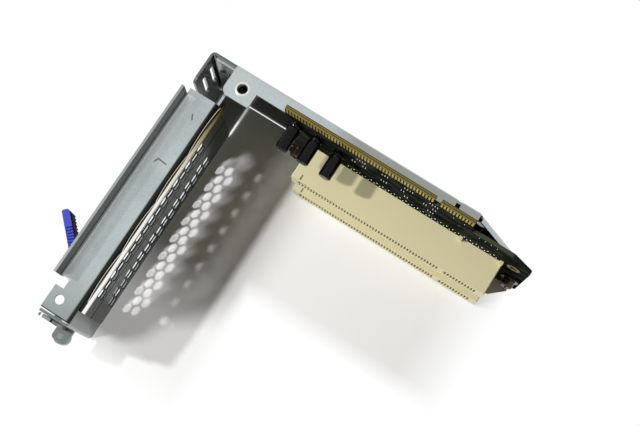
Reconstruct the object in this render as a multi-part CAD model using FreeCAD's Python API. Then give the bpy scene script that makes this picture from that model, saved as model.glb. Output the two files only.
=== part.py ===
import FreeCAD, Part
import math
import os

# Riser card in its sheet metal cage, standing on the cage's far edge with the edge contacts up.
# Millimetres. X runs along the board from its first edge contact, Y = 0 is the board's component
# face with the card slots on the -Y side, and Z = 0 is the surface that the cage stands on.
# The last step moves the origin under the middle of the whole part.

Vector = FreeCAD.Vector

# Sheet metal
sheet = 1.0
bend = 0.8                  # inside radius of a fold
rivet_radius = 1.6
hole_clear = 0.05           # radial clearance of a fixed pin in its hole

# Card slots and the covers behind them
slot_pitch = 20.32
connector_width = 8.7
connector_height = 14.0
connector_foot = 0.88       # lower connector above the standing surface
cover_offset = 7.45         # middle of a card slot to the middle of its cover
cover_gap = 0.92            # between the two covers
cover_thickness = 0.5
cover_start = -7.5
cover_end = -99.3
cover_clear = 0.4           # upper cover to the arm flange

# Slot contacts
contact_pitch = 1.27
contact_count = 62
key_first = 50              # two contact places are taken by the key
key_last = 51
slot_offset = 13.41         # first edge contact to the first slot contact
slot_side = 3.685           # first slot contact to the connector's end
card_slot_width = 1.9
card_slot_depth = 8.5
notch_width = 0.72
notch_reach = 2.9           # middle of the slot to the back of a contact notch
slot_run = 0.9              # last contact to the end of the card slot
contact_width = 0.46
contact_bow = 2.35          # how far a contact stands out of its notch
contact_skip = 0.9          # contact ends below the connector's face
peg_radius = 1.1
peg_length = 2.6
peg_inset = 3.0
lug_width = 1.5
lug_reach = 2.4
lug_rise = 1.3
slit_width = 0.7
slit_depth = 0.7
slit_top = 0.5
slit_length = 2.2

# Board
board_thickness = 1.57
board_margin = 1.1          # first edge contact to the left edge
board_length = 106.0
board_foot = 0.6
contact_rise = 13.5         # cage's top flange up to the contact edge
tongue_margin = 0.83        # last edge contact to the end of the tongue
shoulder_drop = 13.0
shoulder_chamfer = 9.0
board_corner = 1.5
board_round = 4.0           # lower end of the chamfered corner
key_width = 2.2
key_depth = 6.4
pad_width = 0.74
pad_height = 4.4
pad_margin = 0.3
pad_thickness = 0.08
tooling_radius = 0.9
tooling_x = 73.1
tooling_drop = 15.2
eye_radius = 1.6            # plated eye near the right end
eye_inset = 6.1
eye_drop = 28.3

# Capacitors
can_radius = 2.5
can_height = 11.0
can_gap = 0.5               # can to the board
can_groove = 0.25
can_groove_rise = 1.7
can_chamfer = 0.4
can_places = ((4.3, 9.8), (13.1, 11.4), (22.7, 13.0))
lead_radius = 0.25
lead_pitch = 2.0
lead_hole_radius = 0.4
lead_sides = 8
lead_tip = 0.3              # lead beyond its solder
solder_radius = 0.75
solder_height = 0.7

# Screws and standoffs between the board and the main plate
screw_inset_left = 5.3      # board's edge to the screw
screw_inset_right = 4.4
screw_z = 14.5
screw_radius = 1.5
screw_hole_radius = 1.75
washer_radius = 3.7
washer_height = 0.8
head_radius = 2.5
head_height = 3.2
head_chamfer = 0.6
socket_width = 0.8
socket_length = 3.4
socket_depth = 1.4
standoff_height = 5.73
standoff_radius = 3.0
spigot_radius = 2.1
spigot_proud = 0.25
nut_height = 2.4

# Main plate, its top flange and its mounting tab
flange_step = 1.7           # arm flange up to the top flange
flange_left = -27.4
flange_width = 6.35
flange_notch_x = 69.3
flange_notch_width = 1.8
flange_notch_depth = 3.3
tab_length = 12.2
tab_reach = 12.5
tab_corner = 3.0
tab_hole_inset = 6.5
tab_hole_reach = 7.25
tab_hole_radius = 1.95
collar_radius = 2.7
collar_length = 2.5
corner_left = -38.9
corner_reach = 14.05
corner_drop = 0.3           # arm flange down to the corner panel's top
corner_round = 2.5
vent_width = 1.8
vent_bottom = 19.8
vent_length = 16.7
vent_reaches = (4.2, 9.3)
slope_top_gap = 1.4         # top flange's end to the sloping edge
slope_top_drop = 2.4
slope_foot = 8.4
plate_inset = 0.4           # board's right edge to the plate's
slope_flange = 2.6
foot_length = 8.0           # foot under the board's right end
foot_low = 1.0
foot_top = 19.0
foot_wall_top = 8.0
sight_radius = 2.2
sight_x = 80.0
sight_heights = (33.5, 17.6)

# Rear frame: wall, arm flange, lip, ledge and hinge lugs
wall_x = -25.5
arm_width = 13.4
arm_start = -8.5
arm_end = -105.0
lip_rise = 8.5
lip_start = -10.8
lip_end = -92.2
arm_notch_width = 3.4
arm_notch_depth = 4.5
arm_tab_inset = 1.1
arm_hole_inset = 5.5
arm_hole_reach = 5.4
arm_hole_radius = 1.8
ledge_gap = 0.6             # arm's end to the ledge
ledge_top_drop = 1.4
ledge_foot = 1.2
base_width = 3.4            # narrow foot under the wall
window_start = -14.0
window_end = -95.0
window_below = 9.2          # from the middle of a cover
window_above = 7.3
wing_length = 11.0
wing_foot = 3.0
rivet_inset = 7.4
rivet_heights = (31.0, 16.0)
rivet_head = 0.6

# Cover holes
hex_flats = 4.1
hex_pitch = 8.25            # between every other column
hex_columns = 17
hex_first = -89.6
hex_drop = 2.8              # middle of the holes below the middle of the cover

# Spring strip on the upper cover
strip_height = 5.3
strip_bulge = 1.4
strip_thickness = 0.2
strip_start = -6.5
strip_end = -99.2
strip_pitch = 21.5
strip_slit = 0.5
strip_slit_height = 2.0

# Latch
pivot_x = -30.8
pivot_y = -110.9
latch_pin_radius = 1.2
running_clear = 0.05
barrel_radius = 2.9
lug_margin = 2.1            # pin's middle to the lug's end
lug_side = 3.1              # pin's middle to the lug's side
lug_upper = 22.3
lug_lower = 15.2
lug_lower_side = 1.9        # pin's middle to the lower lug's right side
lug_clear = 0.4             # lever between the hinge lugs
flap_thickness = 1.2
flap_left = -38.2
flap_right = -29.9
flap_gap = 0.4              # ledge to the flap
flap_foot = 24.5
flap_top = 41.0
flap_slot_x = -32.3
flap_slot_width = 0.9
flap_slot_depth = 5.0
web_width = 2.2
leg_x = -39.5
leg_end = -91.0
leg_foot = 5.3
leg_height = 9.0
tongue_start = -97.0
tongue_height = 5.0
tongue_clear = 0.05
grip_wall = 1.2
grip_angle = 45.0
grip_thickness = 3.5
grip_length = 30.1
grip_block_end = -89.3
grip_nose = 0.8
tooth_pitch = 1.35
tooth_depth = 0.55
tooth_count = 11
groove_count = 5
groove_width = 0.6
groove_depth = 0.45
groove_start = 13.1

# Places that follow from the sizes above
fold = bend + sheet
cover_height = slot_pitch - cover_gap
board_right = board_length - board_margin
plate_right = board_right - plate_inset
connector_heights = (connector_foot + connector_width / 2 + slot_pitch, connector_foot + connector_width / 2)
cover_heights = tuple(z + cover_offset for z in connector_heights)
arm_top = cover_heights[0] + cover_height / 2 + cover_clear + sheet
cage_top = arm_top + flange_step
board_top = cage_top + contact_rise
tongue_end = (contact_count - 1) * contact_pitch + tongue_margin
plate_face = board_thickness + standoff_height
plate_back = plate_face + sheet
wall_back = wall_x - sheet
arm_left = wall_x - arm_width
ledge_back = arm_end - ledge_gap - sheet
slot_middle = slot_offset + (contact_count - 1) * contact_pitch / 2
connector_half = (contact_count - 1) * contact_pitch / 2 + slot_side
connector_left = slot_middle - connector_half
connector_right = slot_middle + connector_half
peg_places = (connector_left + peg_inset, connector_right - peg_inset)
screw_places = (screw_inset_left - board_margin, board_right - screw_inset_right)
flap_face = ledge_back - flap_gap
flap_back = flap_face - flap_thickness
lever_foot = lug_lower + sheet + lug_clear
lever_top = lug_upper - lug_clear
key_middle = (key_first + key_last) / 2


def lift(axis, level):
    """Places a flat outline at one level of an axis."""
    places = {
        "x": lambda u, v: Vector(level, u, v),
        "y": lambda u, v: Vector(u, level, v),
        "z": lambda u, v: Vector(u, v, level),
    }
    return places[axis]


def corner_points(before, corner, after, radius):
    """Start, middle and end of the arc that rounds one corner."""
    back = (before - corner).normalize()
    ahead = (after - corner).normalize()
    half = back.getAngle(ahead) / 2
    run = radius / math.tan(half)
    middle = (back + ahead).normalize()
    reach = radius / math.sin(half) - radius
    return corner + back * run, corner + middle * reach, corner + ahead * run


def outline(corners, place):
    """Closed wire through corners (u, v) or (u, v, radius)."""
    points = [place(c[0], c[1]) for c in corners]
    edges = []
    stops = []
    for i, corner in enumerate(corners):
        if len(corner) == 3:
            stops.append(corner_points(points[i - 1], points[i], points[(i + 1) % len(points)], corner[2]))
        else:
            stops.append((points[i],))
    for i, stop in enumerate(stops):
        if len(stop) == 3:
            edges.append(Part.Arc(stop[0], stop[1], stop[2]).toShape())
        following = stops[(i + 1) % len(stops)][0]
        if stop[-1].distanceToPoint(following) > 1e-6:
            edges.append(Part.makeLine(stop[-1], following))
    return Part.Wire(edges)


def slab(corners, axis, start, end):
    """Flat outline pulled along an axis from start to end."""
    face = Part.Face(outline(corners, lift(axis, start)))
    return face.extrude(lift(axis, end)(0, 0) - lift(axis, start)(0, 0))


def box(x0, x1, y0, y1, z0, z1):
    return Part.makeBox(x1 - x0, y1 - y0, z1 - z0, Vector(x0, y0, z0))


def rod(axis, u, v, radius, start, end):
    """Round bar along an axis, from start to end."""
    place = lift(axis, start)
    direction = lift(axis, 1)(0, 0)
    return Part.makeCylinder(radius, end - start, place(u, v), direction)


def many_sided(u, v, radius):
    """Corners of a small round section."""
    turn = 2 * math.pi / lead_sides
    return [(u + radius * math.cos(turn * k), v + radius * math.sin(turn * k)) for k in range(lead_sides)]


def bar(x, z, radius, start, end):
    """Thin bar along Y for leads and their holes."""
    return slab(many_sided(x, z, radius), "y", start, end)


def join(shapes):
    return shapes[0].multiFuse(shapes[1:]).removeSplitter()


def spin(shape, angle, centre):
    """Turns a shape about the vertical through a centre."""
    turned = shape.copy()
    turned.rotate(centre, Vector(0, 0, 1), angle)
    return turned


def contact_x(number):
    return (number - 1) * contact_pitch


def live_contacts():
    """Contact numbers without the two that the key takes."""
    return [n for n in range(1, contact_count + 1) if n < key_first or n > key_last]


# Board and its contacts

def riser_board():
    left = -board_margin
    right = board_right
    shoulder = board_top - shoulder_drop
    chamfer_x = right - shoulder_chamfer
    key_x = contact_x(key_middle)
    edge = [
        (left, board_foot, 1.0),
        (right, board_foot, 1.0),
        (right, shoulder - shoulder_chamfer, board_round),
        (chamfer_x, shoulder, board_corner),
        (tongue_end, shoulder, 0.8),
        (tongue_end, board_top, 0.5),
        (key_x + key_width / 2, board_top),
        (key_x + key_width / 2, board_top - key_depth),
        (key_x - key_width / 2, board_top - key_depth),
        (key_x - key_width / 2, board_top),
        (left, board_top, 0.5),
    ]
    holes = [rod("y", tooling_x, board_top - tooling_drop, tooling_radius, -1, board_thickness + 1)]
    holes.append(rod("y", right - eye_inset, board_top - eye_drop, eye_radius, -1, board_thickness + 1))
    for x in screw_places:
        holes.append(rod("y", x, screw_z, screw_hole_radius, -1, board_thickness + 1))
    for z in connector_heights:
        for x in peg_places:
            holes.append(rod("y", x, z, peg_radius + hole_clear, -1, board_thickness + 1))
    for x, z in lead_places():
        holes.append(bar(x, z, lead_hole_radius, -1, board_thickness + 1))
    return slab(edge, "y", 0, board_thickness).cut(holes)


def edge_contacts(inner):
    """One row of contact pads; inner is the board face they lie on."""
    top = board_top - pad_margin
    pads = []
    for number in live_contacts():
        left = contact_x(number) - pad_width / 2
        pads.append(box(left, left + pad_width, inner, inner + pad_thickness, top - pad_height, top))
    return Part.makeCompound(pads)


# Card slots

def comb(first, last, z):
    """Card slot with a notch on both sides of every contact, seen from the card."""
    half = card_slot_width / 2
    start = slot_offset + contact_x(first) - slot_run
    end = slot_offset + contact_x(last) + slot_run
    upper = [(start, z + half)]
    lower = [(end, z - half)]
    for number in range(first, last + 1):
        x = slot_offset + contact_x(number)
        upper += notch(x, z, half, 1)
    for number in range(last, first - 1, -1):
        x = slot_offset + contact_x(number)
        lower += notch(x, z, half, -1)
    return upper + [(end, z + half)] + lower + [(start, z - half)]


def notch(x, z, half, side):
    a = side * notch_width / 2
    return [
        (x - a, z + side * half),
        (x - a, z + side * notch_reach),
        (x + a, z + side * notch_reach),
        (x + a, z + side * half),
    ]


def slot_connector(z):
    face = -connector_height
    near = z + connector_width / 2
    body = slab([
        (connector_left, z - connector_width / 2, 0.4),
        (connector_right, z - connector_width / 2, 0.4),
        (connector_right, near, 0.4),
        (connector_left, near, 0.4),
    ], "y", face, 0)
    added = [body]
    for x in peg_places:
        added.append(rod("y", x, z, peg_radius, -1, peg_length))
    for x in (slot_offset + contact_x(key_middle), connector_right - lug_width / 2):
        added.append(box(x - lug_width / 2, x + lug_width / 2, -lug_rise, 0, near - 1, near + lug_reach))
    slots = [
        slab(comb(1, key_first - 1, z), "y", face - 1, face + card_slot_depth),
        slab(comb(key_last + 1, contact_count, z), "y", face - 1, face + card_slot_depth),
    ]
    slit_y = face + slit_top
    slots.append(box(slot_offset - slit_width / 2, slot_offset + slit_width / 2,
                     slit_y, slit_y + slit_length, near - slit_depth, near + 1))
    return join(added).cut(slots)


def connector_contacts(z):
    """Bowed spring contacts, one in every notch."""
    top = -connector_height + contact_skip
    bottom = -connector_height + card_slot_depth
    middle = (top * 2 + bottom) / 3
    springs = []
    for number in live_contacts():
        x = slot_offset + contact_x(number)
        for side in (1, -1):
            back = z + side * notch_reach
            bow = [(top, back), (bottom, back), (middle, back - side * contact_bow)]
            springs.append(slab(bow, "x", x - contact_width / 2, x + contact_width / 2))
    return Part.makeCompound(springs)


# Capacitors

def lead_places():
    places = []
    for x, drop in can_places:
        places.append((x - lead_pitch / 2, board_top - drop))
        places.append((x + lead_pitch / 2, board_top - drop))
    return places


def capacitor(x, drop):
    """Round can with a rolled groove near its foot, lying along -Y."""
    foot = -can_gap
    groove = foot - can_groove_rise
    profile = [
        (0, foot),
        (can_radius - can_chamfer, foot),
        (can_radius, foot - can_chamfer),
        (can_radius, groove + can_groove * 1.6),
        (can_radius - can_groove, groove),
        (can_radius, groove - can_groove * 1.6),
        (can_radius, foot - can_height + can_chamfer),
        (can_radius - can_chamfer, foot - can_height),
        (0, foot - can_height),
    ]
    face = Part.Face(outline(profile, lift("z", 0)))
    can = face.revolve(Vector(0, 0, 0), Vector(0, 1, 0), 360)
    can.translate(Vector(x, 0, board_top - drop))
    return can


def capacitor_leads():
    """Leads from the cans through the board, each with its solder on the back."""
    leads = []
    back = board_thickness
    for x, z in lead_places():
        wire = bar(x, z, lead_radius, -can_gap, back + solder_height + lead_tip)
        foot = outline(many_sided(x, z, solder_radius), lift("y", back))
        tip = outline(many_sided(x, z, lead_radius), lift("y", back + solder_height))
        solder = Part.makeLoft([foot, tip], True, True)
        leads.append(join([wire, solder]))
    return Part.makeCompound(leads)


# Screws and standoffs

def board_screw(x):
    head = -washer_height - head_height
    washer = rod("y", x, screw_z, washer_radius, -washer_height, 0)
    cap = rod("y", x, screw_z, head_radius, head, -washer_height)
    cap = cap.makeChamfer(head_chamfer, [e for e in cap.Edges if abs(e.BoundBox.YMax - head) < 0.01])
    shank = rod("y", x, screw_z, screw_radius, -washer_height, board_thickness + sheet + nut_height)
    screw = join([washer, cap, shank])
    for a, b in ((socket_length, socket_width), (socket_width, socket_length)):
        low = screw_z - b / 2
        screw = screw.cut(box(x - a / 2, x + a / 2, head - 1, head + socket_depth, low, low + b))
    return screw


def board_screws():
    return Part.makeCompound([board_screw(x) for x in screw_places])


def board_standoffs():
    """Standoff in the main plate for the left screw, and a nut on the plate's foot for the right one."""
    left, right = screw_places
    body = rod("y", left, screw_z, standoff_radius, board_thickness, plate_face)
    spigot = rod("y", left, screw_z, spigot_radius, plate_face - 1, plate_back + spigot_proud)
    foot_back = board_thickness + sheet
    nut = rod("y", right, screw_z, standoff_radius, foot_back, foot_back + nut_height)
    bores = [rod("y", x, screw_z, screw_radius + hole_clear / 2, 0, plate_back + 1) for x in screw_places]
    return Part.makeCompound([join([body, spigot]).cut(bores[0]), nut.cut(bores[1])])


# Main plate

def angle_profile(u_outer, v_outer, u_end, v_end):
    """L of sheet with its outer corner at (u_outer, v_outer), one leg to u_end and one to v_end."""
    su = math.copysign(sheet, u_end - u_outer)
    sv = math.copysign(sheet, v_end - v_outer)
    return [
        (u_outer, v_outer, fold),
        (u_end, v_outer),
        (u_end, v_outer + sv),
        (u_outer + su, v_outer + sv, bend),
        (u_outer + su, v_end),
        (u_outer, v_end),
    ]


def slope_line(inset):
    """Upper and lower end of the plate's sloping edge, moved in by inset."""
    top_x = tongue_end + slope_top_gap
    top_z = cage_top - slope_top_drop
    run = plate_right - top_x
    drop = top_z - slope_foot
    length = math.hypot(run, drop)
    out = Vector(drop / length, 0, run / length)
    top = Vector(top_x, 0, top_z) - out * inset
    foot = Vector(plate_right, 0, slope_foot) - out * inset
    return top, foot


def main_sheet():
    """The flat of the main plate, short of its folds."""
    top, foot = slope_line(fold)
    shelf = cage_top - fold
    fall = (foot.x - top.x) / (top.z - foot.z)
    right = plate_right - fold
    edge = [
        (corner_left + fold, 0),
        (right, 0, 1.0),
        (right, foot.z - (right - foot.x) / fall),
        (top.x - (shelf - top.z) * fall, shelf),
        (flange_left, shelf),
        (flange_left, arm_top - corner_drop),
        (corner_left + fold, arm_top - corner_drop),
    ]
    return slab(edge, "y", plate_face, plate_back)


def slope_fold():
    """Narrow flange folded along the sloping edge."""
    top, foot = slope_line(0)
    length = top.distanceToPoint(foot)
    profile = angle_profile(plate_back, 0, plate_back - slope_flange, -fold - 1)
    strip = slab(profile, "x", 0, length)
    angle = math.degrees(math.atan2(top.z - foot.z, foot.x - top.x))
    strip.rotate(Vector(0, 0, 0), Vector(0, 1, 0), angle)
    strip.translate(top)
    return strip


def right_foot():
    """Fold at the plate's right end that comes forward to the board and carries its right screw."""
    left = plate_right - foot_length
    back = board_thickness + sheet
    bent = slab([
        (plate_right - fold - 2, plate_back),
        (plate_right, plate_back, fold),
        (plate_right, board_thickness, fold),
        (left, board_thickness),
        (left, back),
        (plate_right - sheet, back, bend),
        (plate_right - sheet, plate_face, bend),
        (plate_right - fold - 2, plate_face),
    ], "z", foot_low, foot_wall_top)
    tongue = slab([
        (left, foot_low, 1.0),
        (plate_right - fold, foot_low),
        (plate_right - fold, foot_wall_top),
        (plate_right, foot_wall_top, 0.8),
        (plate_right, foot_top, 2.0),
        (left, foot_top, 2.0),
    ], "y", board_thickness, back)
    return join([bent, tongue])


def mounting_tab():
    right = flange_left + tab_length
    end = plate_back - tab_reach
    edge = [
        (flange_left, plate_face - bend),
        (flange_left, end, tab_corner),
        (right, end, 1.0),
        (right, plate_face - bend),
    ]
    tab = slab(edge, "z", cage_top - sheet, cage_top)
    collar = rod("z", tab_hole()[0], tab_hole()[1], collar_radius, cage_top - collar_length, cage_top)
    return join([tab, collar])


def tab_hole():
    return flange_left + tab_hole_inset, plate_back - tab_hole_reach


def vent(y):
    half = vent_width / 2
    top = vent_bottom + vent_length
    corners = [
        (y - half, vent_bottom, half * 0.95),
        (y + half, vent_bottom, half * 0.95),
        (y + half, top, half * 0.95),
        (y - half, top, half * 0.95),
    ]
    return slab(corners, "x", corner_left - 1, corner_left + sheet + 1)


def corner_panel():
    top = arm_top - corner_drop
    end = plate_back - corner_reach
    bent = slab(angle_profile(corner_left, plate_back, corner_left + fold + 2, end), "z", 0, top)
    keep = slab([
        (plate_back + 1, -1),
        (plate_back + 1, top + 1),
        (end + corner_round, top + 1),
        (end + corner_round, top),
        (end, top, corner_round),
        (end, 0, corner_round),
        (end + corner_round, 0),
        (end + corner_round, -1),
    ], "x", corner_left - 1, corner_left + fold + 3)
    return bent.common(keep)


def main_bracket():
    flange = slab(angle_profile(plate_back, cage_top, plate_back - flange_width, cage_top - fold - 1),
                  "x", flange_left, tongue_end)
    plate = join([main_sheet(), flange, slope_fold(), right_foot(), mounting_tab(), corner_panel()])
    x, y = tab_hole()
    cuts = [rod("z", x, y, tab_hole_radius, cage_top - collar_length - 1, cage_top + 1)]
    cuts.append(box(flange_notch_x - flange_notch_width / 2, flange_notch_x + flange_notch_width / 2,
                    plate_back - flange_notch_depth, plate_back + 1, cage_top - fold - 1, cage_top + 1))
    for reach in vent_reaches:
        cuts.append(vent(plate_back - reach))
    for z in sight_heights:
        cuts.append(rod("y", sight_x, z, sight_radius, plate_face - 1, plate_back + 1))
    left, right = screw_places
    foot_back = board_thickness + sheet
    cuts.append(rod("y", left, screw_z, spigot_radius + hole_clear, plate_face - 1, plate_back + 1))
    cuts.append(rod("y", right, screw_z, screw_hole_radius, board_thickness - 1, foot_back + 1))
    for z in rivet_heights:
        cuts.append(rivet_hole(z))
    return plate.cut(cuts)


# Rear frame

def frame_section():
    """Foot, wall, arm flange and lip as one folded section."""
    arm_low = arm_top - sheet
    lip_top = arm_top + lip_rise
    return [
        (arm_left, lip_top),
        (arm_left, arm_low, fold),
        (wall_back, arm_low, bend),
        (wall_back, sheet, bend),
        (wall_x - base_width, sheet),
        (wall_x - base_width, 0),
        (wall_x, 0, fold),
        (wall_x, arm_top, fold),
        (arm_left + sheet, arm_top, bend),
        (arm_left + sheet, lip_top),
    ]


def hinge_lug(z, right):
    """Lug from the ledge that holds one end of the latch pin; right is its right side."""
    left = pivot_x - lug_side
    end = pivot_y - lug_margin
    edge = [
        (left, ledge_back + sheet / 2),
        (left, end, lug_side * 0.5),
        (right, end, 1.5),
        (right, ledge_back + sheet / 2),
    ]
    return slab(edge, "z", z, z + sheet)


def frame_trim():
    """Ends of the lip, the notch beside the arm's hole, and the hole itself."""
    high = arm_top + lip_rise + 1
    low = arm_top - sheet - 1
    side = arm_left + arm_tab_inset
    notch_end = lip_end - arm_notch_width
    cuts = []
    for y0, y1 in ((arm_end - 1, lip_end), (lip_start, arm_start + 1)):
        cuts.append(box(arm_left - 1, side, y0, y1, low, high))
        cuts.append(box(arm_left - 1, arm_left + fold, y0, y1, arm_top, high))
    cuts.append(box(arm_left - 1, arm_left + arm_notch_depth, notch_end, lip_end, low, high))
    cuts.append(rod("z", arm_left + arm_hole_inset, arm_end + arm_hole_reach, arm_hole_radius, low, high))
    for z in cover_heights:
        foot = z - window_below
        cuts.append(box(wall_back - 1, wall_x + 1, window_end, window_start, foot, z + window_above))
    return cuts


def rear_frame():
    section = slab(frame_section(), "y", arm_end, arm_start)
    wall = box(wall_back, wall_x, arm_start - 1, plate_face - fold, fold, arm_top - fold)
    wing = slab(angle_profile(wall_x, plate_face, wall_x - wing_length, plate_face - fold - 1),
                "z", wing_foot, arm_top - fold)
    ledge = slab(angle_profile(wall_x, ledge_back, arm_left + arm_tab_inset, arm_end + 2),
                 "z", ledge_foot, arm_top - ledge_top_drop)
    lugs = [hinge_lug(lug_upper, wall_x - fold), hinge_lug(lug_lower, pivot_x + lug_lower_side)]
    frame = join([section, wall, wing, ledge] + lugs)
    cuts = frame_trim()
    radius = latch_pin_radius + hole_clear / 2
    cuts.append(rod("z", pivot_x, pivot_y, radius, lug_lower - 1, lug_upper + sheet + 1))
    for z in rivet_heights:
        cuts.append(rivet_hole(z))
    return frame.cut(cuts)


def rivet_hole(z):
    """Hole through the frame's wing and the main plate."""
    radius = rivet_radius + hole_clear
    return rod("y", wall_x - rivet_inset, z, radius, plate_face - sheet - 1, plate_back + 1)


def frame_rivets():
    """Rivets through the frame's wing and the main plate."""
    rivets = []
    inner = plate_face - sheet
    x = wall_x - rivet_inset
    for z in rivet_heights:
        shank = rod("y", x, z, rivet_radius, inner, plate_back)
        front = rod("y", x, z, rivet_radius * 1.6, inner - rivet_head, inner)
        back = rod("y", x, z, rivet_radius * 1.5, plate_back, plate_back + rivet_head / 2)
        rivets.append(join([shank, front, back]))
    return Part.makeCompound(rivets)


# Slot covers and the spring strip

def hexagon(y, z):
    radius = hex_flats / math.sqrt(3)
    return [(y + radius * math.cos(math.radians(60 * k)), z + radius * math.sin(math.radians(60 * k)))
            for k in range(6)]


def slot_cover(z):
    half = cover_height / 2
    plate = slab([
        (cover_end, z - half, 1.0),
        (cover_start, z - half, 1.0),
        (cover_start, z + half, 1.0),
        (cover_end, z + half, 1.0),
    ], "x", wall_x, wall_x + cover_thickness)
    step = hex_pitch / math.sqrt(3)
    holes = []
    for column in range(hex_columns):
        for quarter in ((-1, 3) if column % 2 else (-3, 1)):
            corners = hexagon(hex_first + column * hex_pitch / 2, z - hex_drop + quarter * step / 4)
            holes.append(slab(corners, "x", wall_x - 1, wall_x + cover_thickness + 1))
    return plate.cut(holes)


def emi_strip():
    """Thin strip bowed away from the upper cover along its upper edge."""
    x = wall_x + cover_thickness
    top = cover_heights[0] + cover_height / 2
    low = top - strip_height
    middle = (top + low) / 2
    y = strip_end
    outer = Part.Arc(Vector(x, y, top), Vector(x + strip_bulge, y, middle), Vector(x, y, low)).toShape()
    inner = Part.Arc(Vector(x, y, low + strip_thickness * 1.6),
                     Vector(x + strip_bulge - strip_thickness, y, middle),
                     Vector(x, y, top - strip_thickness * 1.6)).toShape()
    lower = Part.makeLine(Vector(x, y, low), Vector(x, y, low + strip_thickness * 1.6))
    upper = Part.makeLine(Vector(x, y, top - strip_thickness * 1.6), Vector(x, y, top))
    strip = Part.Face(Part.Wire([outer, lower, inner, upper])).extrude(Vector(0, strip_start - strip_end, 0))
    slits = []
    place = strip_start - strip_pitch / 2
    while place > strip_end + strip_slit:
        slits.append(box(x - 1, x + strip_bulge + 1, place - strip_slit / 2, place + strip_slit / 2,
                         low - 1, low + strip_slit_height))
        place -= strip_pitch
    return strip.cut(slits)


# Latch

def latch_pin():
    """Plain pin pressed into both lugs, flush with their outer faces."""
    return rod("z", pivot_x, pivot_y, latch_pin_radius, lug_lower, lug_upper + sheet)


def latch_lever():
    barrel = rod("z", pivot_x, pivot_y, barrel_radius, lever_foot, lever_top)
    knuckle = box(pivot_x - barrel_radius, pivot_x, pivot_y, flap_face, lever_foot, lever_top)
    lower = box(flap_left, pivot_x, flap_back, flap_face, lever_foot, lever_top)
    web = box(flap_left, flap_left + web_width, flap_back, flap_face, leg_foot, flap_foot + 2)
    upper = slab([
        (flap_left, flap_foot, 0.6),
        (flap_right, flap_foot, 0.6),
        (flap_right, flap_top, 2.0),
        (flap_left, flap_top, 2.0),
    ], "y", flap_back, flap_face)
    left = flap_slot_x - flap_slot_width / 2
    right = flap_slot_x + flap_slot_width / 2
    slot = box(left, right, flap_back - 1, flap_face + 1, flap_top - flap_slot_depth, flap_top + 1)
    leg = slab([
        (leg_x, flap_back, flap_thickness + bend),
        (flap_left + 1, flap_back),
        (flap_left + 1, flap_face),
        (leg_x + flap_thickness, flap_face, bend),
        (leg_x + flap_thickness, tongue_start),
        (leg_x, tongue_start),
    ], "z", leg_foot, leg_foot + leg_height)
    tongue_foot = leg_foot + (leg_height - tongue_height) / 2
    tongue_top = tongue_foot + tongue_height
    tongue = box(leg_x, leg_x + flap_thickness, tongue_start - 1, leg_end, tongue_foot, tongue_top)
    bore = rod("z", pivot_x, pivot_y, latch_pin_radius + running_clear, 0, lug_upper)
    return join([barrel, knuckle, lower, web, upper, leg, tongue]).cut([bore, slot])


def grip_blade():
    """Finger blade along +X with saw teeth on its +Y side."""
    half = grip_thickness / 2
    side = []
    for k in range(tooth_count):
        end = grip_length - grip_nose - k * tooth_pitch
        side.append((end, half))
        side.append((end - tooth_pitch * 0.75, half - tooth_depth))
    corners = [(0, half), (0, -half), (grip_length, -half, grip_nose)]
    corners += [(grip_length, half - tooth_depth, grip_nose)] + side
    blade = slab(corners, "z", leg_foot, leg_foot + leg_height)
    top = leg_foot + leg_height
    for k in range(groove_count):
        x = groove_start + k * tooth_pitch
        blade = blade.cut(box(x, x + groove_width, -half - 1, half + 1, top - groove_depth, top + 1))
    return blade


def latch_grip():
    """Plastic grip pushed over the lever's tongue, with a blade that turns away from the cage."""
    x0 = leg_x - grip_wall
    x1 = leg_x + flap_thickness + grip_wall
    block = slab([
        (x0, tongue_start),
        (x1, tongue_start),
        (x1, grip_block_end, 1.2),
        (x0, grip_block_end),
    ], "z", leg_foot, leg_foot + leg_height)
    root = Vector((x0 + x1) / 2, grip_block_end - grip_thickness / 2, 0)
    blade = grip_blade()
    blade.translate(root)
    blade = spin(blade, 180 - grip_angle, root)
    keep = box(x0 - 2 * grip_length, x1, tongue_start, grip_block_end + 2 * grip_length, 0, cage_top)
    tongue_foot = leg_foot + (leg_height - tongue_height) / 2
    pocket = box(leg_x - tongue_clear, leg_x + flap_thickness + tongue_clear, tongue_start - 1, leg_end,
                 tongue_foot - tongue_clear, tongue_foot + tongue_height + tongue_clear)
    return join([block, blade.common(keep)]).cut(pocket)


def all_pieces():
    pieces = {
        "main_bracket": main_bracket(),
        "rear_frame": rear_frame(),
        "slot_cover_1": slot_cover(cover_heights[0]),
        "slot_cover_2": slot_cover(cover_heights[1]),
        "emi_strip": emi_strip(),
        "frame_rivets": frame_rivets(),
        "riser_board": riser_board(),
        "edge_contacts_front": edge_contacts(-pad_thickness),
        "edge_contacts_back": edge_contacts(board_thickness),
        "slot_connector_1": slot_connector(connector_heights[0]),
        "slot_connector_2": slot_connector(connector_heights[1]),
        "connector_contacts_1": connector_contacts(connector_heights[0]),
        "connector_contacts_2": connector_contacts(connector_heights[1]),
        "capacitor_leads": capacitor_leads(),
        "board_standoffs": board_standoffs(),
        "board_screws": board_screws(),
        "latch_lever": latch_lever(),
        "latch_grip": latch_grip(),
        "latch_pin": latch_pin(),
    }
    for number, (x, drop) in enumerate(can_places, 1):
        pieces["capacitor_%d" % number] = capacitor(x, drop)
    return pieces


def export(pieces):
    whole = Part.makeCompound(list(pieces.values())).optimalBoundingBox(False, False)
    shift = Vector(-(whole.XMin + whole.XMax) / 2, -(whole.YMin + whole.YMax) / 2, -whole.ZMin)
    os.makedirs("parts", exist_ok=True)
    for name, shape in pieces.items():
        shape.translate(shift)
        shape.exportStep("parts/%s.step" % name)
        print(name, len(shape.Solids), "solids", shape.isValid())
    print("shift", shift)


export(all_pieces())
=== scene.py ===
import math

import bmesh
import bpy
from mathutils import Matrix, Vector


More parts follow.
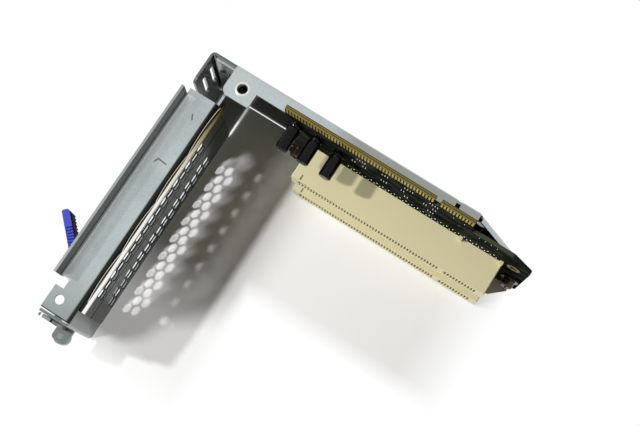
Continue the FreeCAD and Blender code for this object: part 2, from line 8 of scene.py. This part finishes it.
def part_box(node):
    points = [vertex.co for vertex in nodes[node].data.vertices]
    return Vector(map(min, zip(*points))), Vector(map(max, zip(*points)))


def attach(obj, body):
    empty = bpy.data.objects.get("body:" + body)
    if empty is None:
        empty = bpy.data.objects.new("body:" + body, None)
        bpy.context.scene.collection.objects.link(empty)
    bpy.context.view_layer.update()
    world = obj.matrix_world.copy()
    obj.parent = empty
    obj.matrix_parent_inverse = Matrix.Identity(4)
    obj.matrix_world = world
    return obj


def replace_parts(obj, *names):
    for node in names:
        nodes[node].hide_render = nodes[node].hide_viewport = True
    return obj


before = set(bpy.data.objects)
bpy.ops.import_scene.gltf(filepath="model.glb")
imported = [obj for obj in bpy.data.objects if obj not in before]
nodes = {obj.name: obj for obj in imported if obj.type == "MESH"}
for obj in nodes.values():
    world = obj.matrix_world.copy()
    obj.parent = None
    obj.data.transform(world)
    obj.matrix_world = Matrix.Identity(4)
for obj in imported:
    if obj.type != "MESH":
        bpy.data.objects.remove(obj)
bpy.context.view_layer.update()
mm = 0.001

# Places on the part are in millimetres: X from the board's first contact, Y from its front, Z from the floor.
boardLow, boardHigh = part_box("riser_board")
boardMargin = 1.1
zero = {"X": boardLow.x / mm + boardMargin, "Y": boardLow.y / mm, "Z": 0.0}


def place(x, y, z):
    return Vector((zero["X"] + x, zero["Y"] + y, z)) * mm


class Field:  # a shader socket that can stand in a formula
    def __init__(self, tree, socket):
        self.tree = tree
        self.socket = socket

    def maths(self, operation, a, b=0.0, clamp=False):
        return self.tree.node("ShaderNodeMath", {"operation": operation, "use_clamp": clamp}, {0: a, 1: b})

    def __add__(self, other):
        return self.maths("ADD", self, other)

    def __sub__(self, other):
        return self.maths("SUBTRACT", self, other)

    def __rsub__(self, other):
        return self.maths("SUBTRACT", other, self)

    def __mul__(self, other):
        return self.maths("MULTIPLY", self, other)

    def __truediv__(self, other):
        return self.maths("DIVIDE", self, other)

    def __pow__(self, other):
        return self.maths("POWER", self, other)

    def __gt__(self, other):
        return self.maths("GREATER_THAN", self, other)

    def __lt__(self, other):
        return self.maths("LESS_THAN", self, other)

    def __abs__(self):
        return self.maths("ABSOLUTE", self)

    def clamped(self):
        return self.maths("ADD", self, 0.0, True)

    def highest(self, other):
        return self.maths("MAXIMUM", self, other)

    def fade(self, places):  # 0 at the first of the two places, 1 at the second
        start, end = places
        return ((self - start) / (end - start)).clamped()

    def within(self, places):
        return (self > places[0]) * (self < places[1])


class Tree:  # a node tree and the one way its nodes are made
    def __init__(self, tree):
        self.tree = tree
        self.coords = None

    def feed(self, socket, value):
        if isinstance(value, Field):
            self.tree.links.new(value.socket, socket)
        else:
            socket.default_value = value

    def node(self, kind, settings, sockets, output=0):
        made = self.tree.nodes.new(kind)
        for key, value in settings.items():
            if key == "stops":
                fillRamp(made.color_ramp, value)
            else:
                setattr(made, key, value)
        for key, value in sockets.items():
            self.feed(made.inputs[key], value)
        return Field(self, made.outputs[output])

    def seen(self):  # 1 for what the camera sees, also by reflection or through glass
        rays = [self.node("ShaderNodeLightPath", {}, {}, "Is %s Ray" % kind)
                for kind in ("Camera", "Glossy", "Transmission")]
        return rays[0].highest(rays[1]).highest(rays[2])

    def where(self):
        if self.coords is None:
            self.coords = self.node("ShaderNodeTexCoord", {}, {}, "Object")
        return self.coords

    def spot(self, letter):  # place along one axis, in millimetres
        return self.node("ShaderNodeSeparateXYZ", {}, {0: self.where()}, letter) / mm - zero[letter]

    def facing(self, letter):
        normal = self.node("ShaderNodeTexCoord", {}, {}, "Normal")
        return self.node("ShaderNodeSeparateXYZ", {}, {0: normal}, letter)

    def noise(self, scale, detail, stretch=(1, 1, 1)):
        spread = self.node("ShaderNodeMapping", {}, {"Vector": self.where(), "Scale": stretch})
        return self.node("ShaderNodeTexNoise", {}, {"Vector": spread, "Scale": scale, "Detail": detail})

    def ramp(self, value, stops):
        return self.node("ShaderNodeValToRGB", {"stops": stops}, {0: value})

    def blend(self, factor, a, b):
        return self.node("ShaderNodeMix", {"data_type": "RGBA"}, {0: factor, 6: a, 7: b}, 2)


class Finish(Tree):  # one material
    def __init__(self, name):
        self.material = bpy.data.materials.new(name)
        self.material.use_nodes = True
        super().__init__(self.material.node_tree)
        self.shader = self.tree.nodes["Principled BSDF"]

    def shade(self, sockets):
        for key, value in sockets.items():
            self.feed(self.shader.inputs[key], value)
        return self


def fillRamp(ramp, stops):
    while len(ramp.elements) < len(stops):
        ramp.elements.new(1.0)
    for element, (position, value) in zip(ramp.elements, stops):
        element.position = position
        element.color = value


def grey(value):
    return (value, value, value, 1.0)


def linear(level):
    share = level / 255
    return share / 12.92 if share < 0.04045 else ((share + 0.055) / 1.055) ** 2.4


def colour(red, green, blue):  # screen values 0 to 255 to a shader colour
    return (linear(red), linear(green), linear(blue), 1.0)


def dress(finish, *names):
    for name in names:
        for held in nodes[name].material_slots:
            held.material = finish.material


def addObject(name, mesh, finish):
    data = bpy.data.meshes.new(name)
    mesh.to_mesh(data)
    mesh.free()
    data.materials.append(finish.material)
    made = bpy.data.objects.new(name, data)
    bpy.context.scene.collection.objects.link(made)
    return made


def finishPiece(name, mesh, finish, body="cage"):
    piece = addObject(name, mesh, finish)
    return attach(piece, body)


# Camera, floor and light

stage = {
    "floorHalf": 4.0,
    "floorDrop": 0.05,
    "floorColour": grey(0.86),
    "floorRoughness": 0.85,
    "shadeFrom": (-26.0, 7.0),  # left and far side of the floor that shows its shade
    "shadeCorner": (-38.5, -26.0),  # the same along X, left of that
    "cornerNear": -7.0,
    "boardNear": -7.2,  # Y to which it shows it along the board
    "boardTurn": 96.8,  # X from which that Y grows, by boardSlope, up to boardLast
    "boardSlope": 0.87,
    "boardLast": 102.5,
    "shadeAhead": (-60.0, -52.0),  # along Y, fading from white in front of the slots
    "shadeRight": (104.0, 82.0),  # along X, the same
    "shadeAside": (18.0, 12.5),  # along X, the same beside the wall
    "shadeEnd": (-114.0, -100.0),  # along Y, the same at the wall's end
    "shadeThin": (-84.0, -58.0),  # along Y, the same where it grows weaker
    "thin": 0.27,
    "worldLight": 0.095,
    "worldColour": (1.0, 0.9, 0.7, 1.0),
    "aim": (0.0, 0.0, 0.02),
}

keyLamp = {"turnDeg": 197.0, "riseDeg": 50.0, "away": 0.9, "size": 0.05, "power": 5.0}
softLamp = {"turnDeg": 223.0, "riseDeg": 37.0, "away": 0.9, "size": 0.16, "power": 5.5}

photoCamera = {
    "place": (54.063, -43.631, 450.452),
    "aim": (1.243, 37.642, 0.0),
    "rollDeg": -0.614,
    "lens": 64.33,
    "sensor": 36.0,
    "clipStart": 0.01,
}


def aimed(start, aim):
    return (Vector(aim) - Vector(start)).to_track_quat("-Z", "Y").to_matrix().to_4x4()


def makeCamera():
    data = bpy.data.cameras.new("photoCamera")
    data.sensor_width = photoCamera["sensor"]
    data.lens = photoCamera["lens"]
    data.clip_start = photoCamera["clipStart"]
    camera = bpy.data.objects.new("photoCamera", data)
    start = Vector(photoCamera["place"]) * mm
    roll = Matrix.Rotation(math.radians(photoCamera["rollDeg"]), 4, "Z")
    camera.matrix_world = Matrix.Translation(start) @ aimed(start, Vector(photoCamera["aim"]) * mm) @ roll
    bpy.context.scene.collection.objects.link(camera)
    bpy.context.scene.camera = camera


def makeLamp(name, lamp):
    data = bpy.data.lights.new(name, "AREA")
    data.shape = "DISK"
    data.size = lamp["size"]
    data.energy = lamp["power"]
    turn = math.radians(lamp["turnDeg"])
    rise = math.radians(lamp["riseDeg"])
    way = Vector((math.cos(turn) * math.cos(rise), math.sin(turn) * math.cos(rise), math.sin(rise)))
    start = Vector(stage["aim"]) + way * lamp["away"]
    made = bpy.data.objects.new(name, data)
    made.matrix_world = Matrix.Translation(start) @ aimed(start, stage["aim"])
    bpy.context.scene.collection.objects.link(made)


def shadeShown(x, y):  # 1 where the floor shows its shade, 0 where it is white to the camera
    left, far = stage["shadeFrom"]
    ahead = y.fade(stage["shadeAhead"]) * x.fade(stage["shadeRight"])
    thin = (1.0 - y.fade(stage["shadeThin"])) * stage["thin"]
    aside = x.fade(stage["shadeAside"]) * y.fade(stage["shadeEnd"]) * (1.0 - thin)
    near = (x - stage["boardTurn"]).highest(0.0) * stage["boardSlope"] + stage["boardNear"]
    under = (y > near) * (x < stage["boardLast"])
    corner = x.within(stage["shadeCorner"]) * (y > stage["cornerNear"])
    return (y < far) * ((x > left) * under.highest(ahead).highest(aside)).highest(corner)


def makeFloor():
    mesh = bmesh.new()
    bmesh.ops.create_grid(mesh, x_segments=1, y_segments=1, size=stage["floorHalf"])
    bmesh.ops.translate(mesh, vec=(0, 0, -stage["floorDrop"] * mm), verts=mesh.verts)
    finish = Finish("paleFloor")
    finish.shade({"Base Color": stage["floorColour"], "Roughness": stage["floorRoughness"]})
    white = finish.node("ShaderNodeEmission", {}, {"Color": grey(1.0), "Strength": 1.0})
    share = finish.seen() * (1.0 - shadeShown(finish.spot("X"), finish.spot("Y")))
    lit = Field(finish, finish.shader.outputs[0])
    both = finish.node("ShaderNodeMixShader", {}, {0: share, 1: lit, 2: white})
    finish.feed(finish.tree.nodes["Material Output"].inputs["Surface"], both)
    floor = addObject("floor", mesh, finish)


def makeWorld():
    world = bpy.data.worlds.new("studio")
    bpy.context.scene.world = world
    world.use_nodes = True
    sky = Tree(world.node_tree)
    seen = sky.seen()
    back = sky.tree.nodes["Background"]
    sky.feed(back.inputs["Color"], sky.blend(seen, stage["worldColour"], grey(1.0)))
    sky.feed(back.inputs["Strength"], seen * (1.0 - stage["worldLight"]) + stage["worldLight"])


bpy.context.scene.view_settings.view_transform = "Standard"
makeCamera()
makeWorld()
makeFloor()
makeLamp("key", keyLamp)
makeLamp("soft", softLamp)
print("stage: camera, floor and lamps")


# Finishes

def nearLine(x, y, start, end, width):  # 1 to half a width from a short line, 0 a width further
    run = Vector(end) - Vector(start)
    x = x - start[0]
    y = y - start[1]
    along = ((x * run.x + y * run.y) / run.length_squared).clamped()
    across = ((x - along * run.x) ** 2.0 + (y - along * run.y) ** 2.0) ** 0.5
    return across.fade((width * 1.5, width * 0.5))


sheetGrain = {
    "cloudScale": 45.0,
    "cloudDetail": 4.0,
    "cloudShare": 0.7,
    "grainScale": 1100.0,
    "grainDetail": 2.0,
    "dark": 0.36,
    "light": 0.64,
}


def sheetTone(finish, dark, light):
    cloud = finish.noise(sheetGrain["cloudScale"], sheetGrain["cloudDetail"])
    grain = finish.noise(sheetGrain["grainScale"], sheetGrain["grainDetail"])
    share = sheetGrain["cloudShare"]
    stops = [(sheetGrain["dark"], dark), (sheetGrain["light"], light)]
    return finish.ramp(cloud * share + grain * (1.0 - share), stops)


def sheetFinish(name, dark, light, roughness):
    finish = Finish(name)
    tone = sheetTone(finish, dark, light)
    return finish.shade({"Base Color": tone, "Metallic": 1.0, "Roughness": roughness})


def plainFinish(name, base, roughness, metallic=0.0):
    return Finish(name).shade({"Base Color": base, "Roughness": roughness, "Metallic": metallic})


frameLook = {
    "sheet": (colour(166, 174, 174), colour(182, 190, 190)),
    "roughness": 0.23,
    "specular": 0.1,
    "level": 0.98,  # share by which a face points up, from which it counts as level
    "upright": 0.75,  # the same to the sides
    "wallTop": 43.0,
    # painted shade: upright faces, and faces below the wall's top past the arm's end, take this darker tone
    "uprightShadeTone": colour(108, 115, 113),
    "shadeBeyondEnd": -105.3,
    "lipFrom": 45.2,
    # painted shade: the lip's sides take this dark tone
    "lipSideShade": colour(80, 88, 85),
    "lipTop": colour(152, 159, 158),
    "lipEnds": (-92.2, -10.8),
    "beside": (-33.6, -37.6),  # along X, painted light towards the lip, against the shade the lip casts there; also rougher
    "besidePaintedLight": colour(238, 243, 243),
    "besideRougher": 0.3,
    # painted shade on the bend at the lip's foot
    "bendShadeTone": colour(112, 118, 117),
    "endFade": (-82.0, -104.0),
    "endTone": colour(136, 143, 142),
    # painted shade above the wall's top: a dark line at the arm's end edge and a dark band along the fold
    # beside the strip
    "endLine": -104.6,
    "foldShade": (-27.0, -26.6),
    "paintedShadeTone": colour(44, 47, 42),
    # the foot's top is painted: light and matt from footFade up to footLast, dark shade beyond footLast at
    # the corner
    "footTop": 3.0,
    "footFade": (-86.0, -76.0),
    "footLast": -9.0,
    "footLitTone": colour(236, 239, 239),
    "footMatt": 0.8,
    "marks": (  # a dash, and a scratch in three strokes
        ((-31.5, -16.7), (-30.6, -18.5)),
        ((-33.4, -39.0), (-32.7, -37.4)),
        ((-32.7, -37.4), (-31.2, -37.6)),
        ((-31.2, -37.6), (-29.2, -37.8)),
    ),
    "markWidth": 0.27,
    "markFrom": 43.6,
    "markShare": 0.85,
    "markTone": colour(78, 82, 80),
}


def frameFinish():
    look = frameLook
    finish = Finish("frameSheet")
    x, y, z = (finish.spot(letter) for letter in "XYZ")
    level = finish.facing("Z") > look["level"]
    upright = abs(finish.facing("X")) > look["upright"]
    low = z < look["wallTop"]
    raised = z > look["lipFrom"]
    tone = sheetTone(finish, *look["sheet"])

    beside = x.fade(look["beside"]) * y.within(look["lipEnds"])
    # towards the lip: painted light on level faces, painted shade on the bend
    tone = finish.blend(beside, tone, finish.blend(level, look["bendShadeTone"], look["besidePaintedLight"]))
    tone = finish.blend(y.fade(look["endFade"]), tone, look["endTone"])
    lines = [nearLine(x, y, start, end, look["markWidth"]) for start, end in look["marks"]]
    marks = lines[0]
    for line in lines[1:]:
        marks = marks.highest(line)
    tone = finish.blend(marks * (z > look["markFrom"]) * look["markShare"], tone, look["markTone"])

    # painted shade on upright faces and past the arm's end
    tone = finish.blend(((y < look["shadeBeyondEnd"]) * low).highest(upright), tone, look["uprightShadeTone"])
    # the lip above lipFrom: painted shade on its sides, its own tone on its top
    tone = finish.blend(raised, tone, finish.blend(level, look["lipSideShade"], look["lipTop"]))
    # painted shade along the fold beside the strip and at the arm's end edge
    dark = x.fade(look["foldShade"]).highest(y < look["endLine"]) * (1.0 - low)
    tone = finish.blend(dark, tone, look["paintedShadeTone"])

    # the foot's top: painted shade near the corner, painted light along the rest of the wall
    foot = level * (z < look["footTop"])
    last = y > look["footLast"]
    tone = finish.blend(foot * last, tone, look["paintedShadeTone"])
    foot = foot * (1.0 - last) * y.fade(look["footFade"])
    tone = finish.blend(foot, tone, look["footLitTone"])
    matt = (foot * look["footMatt"]).highest(raised * (1.0 - level))
    rough = beside * level * (1.0 - raised) * look["besideRougher"] + look["roughness"]
    return finish.shade({"Base Color": tone, "Metallic": 1.0 - matt, "Roughness": rough,
                         "Specular IOR Level": look["specular"]})


bracketLook = {
    "sheet": (colour(174, 181, 182), colour(190, 197, 198)),
    "roughness": 0.24,
    "level": 0.8,
    "rightFade": (14.0, 27.0),  # along X, the flange's top grows darker
    "rightTone": colour(150, 153, 148),
    "inside": -0.8,  # share of Y in a face's direction, under which it looks towards the slots and is painted as shade
    "insideShadeTone": colour(66, 69, 67),
    "edgeFrom": 44.2,  # above this such a face is a cut edge of the flange or the tab, painted with a highlight
    "edgeHighlightTone": colour(228, 232, 232),
    "cornerEnd": -27.8,
    "cornerTurn": 0.5,
    # painted shade on the corner panel's inner faces
    "cornerShadeTone": colour(104, 110, 108),
}


def bracketFinish():
    look = bracketLook
    finish = Finish("bracketSheet")
    x = finish.spot("X")
    back = finish.facing("Y")
    tone = sheetTone(finish, *look["sheet"])
    right = x.fade(look["rightFade"]) * (finish.facing("Z") > look["level"])
    tone = finish.blend(right, tone, look["rightTone"])
    # faces towards the slots: painted shade, with a painted highlight on cut edges above edgeFrom
    inside = finish.blend(finish.spot("Z") > look["edgeFrom"], look["insideShadeTone"], look["edgeHighlightTone"])
    tone = finish.blend(back < look["inside"], tone, inside)
    # painted shade on the corner panel's inner faces
    inner = (back < look["cornerTurn"]) * (finish.facing("X") > -look["cornerTurn"])
    tone = finish.blend((x < look["cornerEnd"]) * inner, tone, look["cornerShadeTone"])
    return finish.shade({"Base Color": tone, "Metallic": 1.0, "Roughness": look["roughness"]})


boardLook = {
    "cloudScale": 160.0,
    "cloudDetail": 4.0,
    "cloudStretch": (1.0, 1.0, 2.5),
    "face": ((0.4, colour(22, 24, 21)), (0.7, colour(52, 55, 48))),
    "rim": 0.5,
    "rimTone": colour(74, 78, 62),
    "topDepth": 0.6,
    "layers": (  # through the board's thickness, on its top edge
        (0.16, colour(150, 134, 70)), (0.3, colour(84, 75, 34)), (0.5, colour(98, 88, 42)),
        (0.66, colour(138, 126, 72)), (0.84, colour(92, 84, 50)), (0.95, colour(36, 34, 26)),
    ),
    "roughness": 0.34,
}


def boardFinish():
    look = boardLook
    finish = Finish("board")
    cloud = finish.noise(look["cloudScale"], look["cloudDetail"], look["cloudStretch"])
    rim = abs(finish.facing("Y")) < look["rim"]
    top = finish.spot("Z") > boardHigh.z / mm - look["topDepth"]
    depth = finish.spot("Y") / ((boardHigh.y - boardLow.y) / mm)
    edge = finish.blend(top, look["rimTone"], finish.ramp(depth, look["layers"]))
    tone = finish.blend(rim, finish.ramp(cloud, look["face"]), edge)
    return finish.shade({"Base Color": tone, "Roughness": look["roughness"], "Specular IOR Level": 0.0})


coverLook = {
    "sheet": (colour(74, 80, 79), colour(92, 98, 96)),
    "metallic": 0.35,
    "roughness": 0.24,
    "specular": 0.1,
    "through": 0.6,  # share of X in a face's direction, under which it is a wall of a hole, painted as shade
    "holeShadeTone": colour(26, 28, 27),
    "throughMatt": 0.25,
    "throughRougher": 0.4,
}


def coverFinish():
    look = coverLook
    finish = Finish("coverSheet")
    tone = sheetTone(finish, *look["sheet"])
    # walls of the holes: painted shade
    through = abs(finish.facing("X")) < look["through"]
    return finish.shade({
        "Base Color": finish.blend(through, tone, look["holeShadeTone"]),
        "Metallic": look["metallic"] - through * look["throughMatt"],
        "Roughness": through * look["throughRougher"] + look["roughness"],
        "Specular IOR Level": look["specular"],
    })


sleeveLook = {
    "tone": colour(6, 6, 7),
    "roughness": 0.12,
    "specular": 0.16,
    "foldScale": 900.0,
    "foldDetail": 2.0,
    "foldStretch": (1.0, 0.35, 1.0),
    "foldStrength": 0.55,
    "foldHeight": 0.25,
}


def sleeveFinish():  # shrunk film, uneven enough to glitter at its folds
    look = sleeveLook
    finish = Finish("capSleeve")
    folds = finish.noise(look["foldScale"], look["foldDetail"], look["foldStretch"])
    bump = {"Strength": look["foldStrength"], "Distance": look["foldHeight"] * mm, "Height": folds}
    return finish.shade({
        "Base Color": look["tone"],
        "Roughness": look["roughness"],
        "Specular IOR Level": look["specular"],
        "Normal": finish.node("ShaderNodeBump", {}, bump),
    })


stripLook = {
    "along": (-60.0, -10.0),
    "tones": ((0.2, colour(250, 248, 242)), (0.75, colour(208, 200, 168)), (1.0, colour(138, 120, 72))),
    # painted shade on the strip's inner part, in the gap towards the arm
    "inner": (-24.4, -24.55),
    "innerShadeTone": colour(50, 48, 42),
    "roughness": 0.2,
}


def stripFinish():
    look = stripLook
    finish = Finish("springStrip")
    tone = finish.ramp(finish.spot("Y").fade(look["along"]), look["tones"])
    # painted shade on the strip's inner part
    tone = finish.blend(finish.spot("X").fade(look["inner"]), tone, look["innerShadeTone"])
    return finish.shade({"Base Color": tone, "Metallic": 1.0, "Roughness": look["roughness"]})


zinc = bracketFinish()
armZinc = frameFinish()
cover = coverFinish()
latchSteel = sheetFinish("latchSheet", colour(108, 115, 113), colour(126, 133, 131), roughness=0.28)
strip = stripFinish()
loopMetal = plainFinish("stripLoop", colour(218, 216, 206), roughness=0.25, metallic=1.0)
board = boardFinish()
gold = plainFinish("goldPads", colour(178, 158, 84), roughness=0.36, metallic=0.5)
dullGold = plainFinish("dullGold", colour(122, 102, 54), roughness=0.4, metallic=0.8)
cream = plainFinish("creamMoulding", colour(214, 207, 166), roughness=0.45)
contact = plainFinish("slotContacts", colour(150, 134, 92), roughness=0.4, metallic=0.7)
sleeve = sleeveFinish()
tinned = plainFinish("tinned", colour(190, 190, 186), roughness=0.3, metallic=0.9)
solder = plainFinish("solder", colour(214, 214, 206), roughness=0.4, metallic=0.2)
screwSteel = plainFinish("screwSteel", colour(70, 64, 50), roughness=0.24, metallic=0.9)

dress(zinc, "main_bracket", "frame_rivets")
dress(armZinc, "rear_frame")
dress(cover, "slot_cover_1", "slot_cover_2")
dress(strip, "emi_strip")
dress(board, "riser_board")
dress(gold, "edge_contacts_front", "edge_contacts_back")
dress(cream, "slot_connector_1", "slot_connector_2")
dress(contact, "connector_contacts_1", "connector_contacts_2")
dress(sleeve, "capacitor_1", "capacitor_2", "capacitor_3")
dress(tinned, "capacitor_leads", "board_standoffs")
dress(screwSteel, "board_screws")
dress(latchSteel, "latch_lever", "latch_pin")
print("finishes on the frame")


# Solder dots on the board's front

solderDots = {
    "rowRadius": 0.3,
    "radius": 0.17,
    "tipShare": 0.55,
    "height": 0.2,
    "sides": 6,
    "rowPitch": 2.54,
    "rows": ((26.5, 33.9, 26), (27.8, 31.8, 26)),  # first X, Z, count
    "gridPitch": 1.1,
    "grids": (  # middle X and Z, count across and down
        (31.5, 50.6, 4, 2), (41.6, 50.6, 3, 2), (51.7, 50.6, 4, 2), (62.2, 50.6, 4, 2),
        (28.5, 45.3, 2, 2), (33.0, 45.3, 2, 2), (49.5, 45.3, 2, 2), (59.0, 45.3, 2, 2), (63.0, 45.3, 2, 2),
        (41.6, 42.3, 3, 2), (51.4, 39.6, 2, 2), (61.9, 39.6, 3, 2),
        (70.5, 50.6, 1, 1), (75.0, 50.6, 1, 1),
        (82.1, 44.7, 1, 1), (84.5, 44.7, 1, 1), (87.0, 44.7, 1, 1), (89.6, 44.7, 1, 1),
    ),
}


def addDot(mesh, x, z, radius):
    middle = place(x, -solderDots["height"] / 2, z)
    turn = Matrix.Rotation(math.radians(90), 4, "X")
    bmesh.ops.create_cone(mesh, cap_ends=True, segments=solderDots["sides"], radius1=radius * mm,
                          radius2=radius * solderDots["tipShare"] * mm, depth=solderDots["height"] * mm,
                          matrix=Matrix.Translation(middle) @ turn)


def makeSolderDots():
    mesh = bmesh.new()
    for start, z, count in solderDots["rows"]:
        for k in range(count):
            addDot(mesh, start + k * solderDots["rowPitch"], z, solderDots["rowRadius"])
    pitch = solderDots["gridPitch"]
    for x, z, across, down in solderDots["grids"]:
        for i in range(across):
            for k in range(down):
                right = (i - (across - 1) / 2) * pitch
                rise = (k - (down - 1) / 2) * pitch
                addDot(mesh, x + right, z + rise, solderDots["radius"])
    finishPiece("solderDots", mesh, solder)


# Plated ring round the board's eye, and the rim of the tab's hole

ringSteps = 28
eyeRing = {"place": (98.8, 0.0, 31.0), "profile": ((1.6, 0.0), (1.7, 0.06), (2.7, 0.06), (2.8, 0.0))}
tabRim = {"place": (-20.9, 1.05, 45.8), "profile": ((1.98, 0.0), (2.1, 0.14), (2.5, 0.16), (2.8, 0.0))}


def ringMesh(ring, axis):  # the profile runs as (radius, height) pairs along the axis
    mesh = bmesh.new()
    middle = place(*ring["place"])
    points = [mesh.verts.new(middle + Vector((radius * mm, 0, 0)) + Vector(axis) * height * mm)
              for radius, height in ring["profile"]]
    edges = [mesh.edges.new(pair) for pair in zip(points, points[1:])]
    bmesh.ops.spin(mesh, geom=points + edges, cent=middle, axis=axis, angle=math.tau, steps=ringSteps,
                   use_merge=True)
    bmesh.ops.recalc_face_normals(mesh, faces=mesh.faces)
    return mesh


def makeRings():
    finishPiece("eyeRing", ringMesh(eyeRing, (0, -1, 0)), dullGold)
    finishPiece("tabRim", ringMesh(tabRim, (0, 0, 1)), loopMetal)


# Long loops of the spring strip, between it and the arm

stripLoops = {
    "start": -9.0,
    "pitch": 21.5,
    "count": 4,
    "steps": 16,
    "foot": -24.35,
    "bow": 0.75,
    "bowPower": 0.7,  # under 1, so that a loop leaves its foot steeply and is flat along its middle
    "low": 43.1,
    "high": 43.3,
    "thickness": 0.16,
}


def loopBow(step):
    return stripLoops["bow"] * math.sin(math.pi * step / stripLoops["steps"]) ** stripLoops["bowPower"]


def makeStripLoops():
    mesh = bmesh.new()
    half = stripLoops["thickness"] / 2
    low, high = stripLoops["low"], stripLoops["high"]
    for loop in range(stripLoops["count"]):
        rings = []
        for step in range(stripLoops["steps"] + 1):
            y = stripLoops["start"] - stripLoops["pitch"] * (loop + step / stripLoops["steps"])
            x = stripLoops["foot"] - loopBow(step)
            corners = ((x - half, low), (x + half, low), (x + half, high), (x - half, high))
            rings.append([mesh.verts.new(place(u, y, v)) for u, v in corners])
        for a, b in zip(rings, rings[1:]):
            for k in range(len(a)):
                mesh.faces.new((a[k - 1], a[k], b[k], b[k - 1]))
        mesh.faces.new(rings[0])
        mesh.faces.new(rings[-1])
    bmesh.ops.recalc_face_normals(mesh, faces=mesh.faces)
    finishPiece("stripLoops", mesh, loopMetal)


# Grip of the latch, with its ribs on the side towards the arm

ribbedGrip = {
    "root": (-38.9, -91.05),
    "turnDeg": 135.0,
    "length": 30.1,
    "sides": (1.2, -1.8),  # left and right side of the blade, across its run
    "nose": 0.8,
    "noseSteps": 4,
    "low": 5.3,
    "high": 14.3,
    "ribs": 13,
    "ribPitch": 1.35,
    "ribDepth": 0.55,
    "ribTop": 13.3,
    "ribFacing": 0.1,  # share of X and of Y in a face's direction, over which it is on the ribbed side, painted as shade
    "ribShadeTone": colour(28, 30, 86),
    "grooves": 8,
    "grooveFrom": 14.0,
    "groovePitch": 1.2,
    "grooveWidth": 0.5,
    "grooveDepth": 0.45,
    "grooveLevel": 0.8,
    # painted shade on the groove floors
    "grooveShadeTone": colour(40, 45, 122),
    "block": ((-40.7, -97.0), (-37.1, -89.3)),
    "tone": colour(72, 80, 184),
    "roughness": 0.6,
    "specular": 0.06,
}


def gripFinish():
    grip = ribbedGrip
    finish = Finish("blueGrip")
    ribbed = (finish.facing("X") > grip["ribFacing"]) * (finish.facing("Y") > grip["ribFacing"])
    # painted shade on the ribbed side
    tone = finish.blend(ribbed, grip["tone"], grip["ribShadeTone"])
    # painted shade on the groove floors
    under = finish.spot("Z") < grip["high"] - grip["grooveDepth"] / 2
    tone = finish.blend(under * (finish.facing("Z") > grip["grooveLevel"]), tone, grip["grooveShadeTone"])
    return finish.shade({"Base Color": tone, "Roughness": grip["roughness"],
                         "Specular IOR Level": grip["specular"]})


def bladeOutline(start, ribs):  # the blade from one place along it to its nose
    left, right = ribbedGrip["sides"]
    nose = ribbedGrip["nose"]
    end = ribbedGrip["length"] - nose
    pitch = ribbedGrip["ribPitch"]
    points = [(start, left)]
    for middle, first in ((left - nose, 90.0), (right + nose, 0.0)):
        for k in range(ribbedGrip["noseSteps"] + 1):
            turn = math.radians(first - 90.0 * k / ribbedGrip["noseSteps"])
            points.append((end + nose * math.cos(turn), middle + nose * math.sin(turn)))
    for k in range(ribs):
        rib = end - (k + 1) * pitch
        points += [(rib + pitch / 2, right - ribbedGrip["ribDepth"]), (rib, right)]
    return points + [(start, right)]


def turned(outline):
    x, y = ribbedGrip["root"]
    turn = math.radians(ribbedGrip["turnDeg"])
    return [(x + u * math.cos(turn) - v * math.sin(turn), y + u * math.sin(turn) + v * math.cos(turn))
            for u, v in outline]


def addPrism(mesh, outline, low, high):
    bottom, top = ([mesh.verts.new(place(x, y, z)) for x, y in outline] for z in (low, high))
    mesh.faces.new(bottom)
    mesh.faces.new(top)
    for k in range(len(outline)):
        mesh.faces.new((bottom[k - 1], bottom[k], top[k], top[k - 1]))


def makeGrip():
    mesh = bmesh.new()
    low, ribTop, high = (ribbedGrip[key] for key in ("low", "ribTop", "high"))
    left, right = ribbedGrip["sides"]
    sunk = high - ribbedGrip["grooveDepth"]
    addPrism(mesh, turned(bladeOutline(0.0, ribbedGrip["ribs"])), low, ribTop)
    addPrism(mesh, turned(bladeOutline(0.0, 0)), ribTop, sunk)
    start = 0.0
    for k in range(ribbedGrip["grooves"]):
        end = ribbedGrip["grooveFrom"] + k * ribbedGrip["groovePitch"]
        addPrism(mesh, turned([(start, left), (end, left), (end, right), (start, right)]), sunk, high)
        start = end + ribbedGrip["grooveWidth"]
    addPrism(mesh, turned(bladeOutline(start, 0)), sunk, high)
    (x0, y0), (x1, y1) = ribbedGrip["block"]
    addPrism(mesh, [(x0, y0), (x1, y0), (x1, y1), (x0, y1)], low, high)
    bmesh.ops.triangulate(mesh, faces=[face for face in mesh.faces if len(face.verts) > 4])
    bmesh.ops.recalc_face_normals(mesh, faces=mesh.faces)
    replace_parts(finishPiece("ribbedGrip", mesh, gripFinish(), "latch"), "latch_grip")


makeSolderDots()
makeRings()
makeStripLoops()
makeGrip()
print("small pieces on the board, the tab, the strip and the latch")
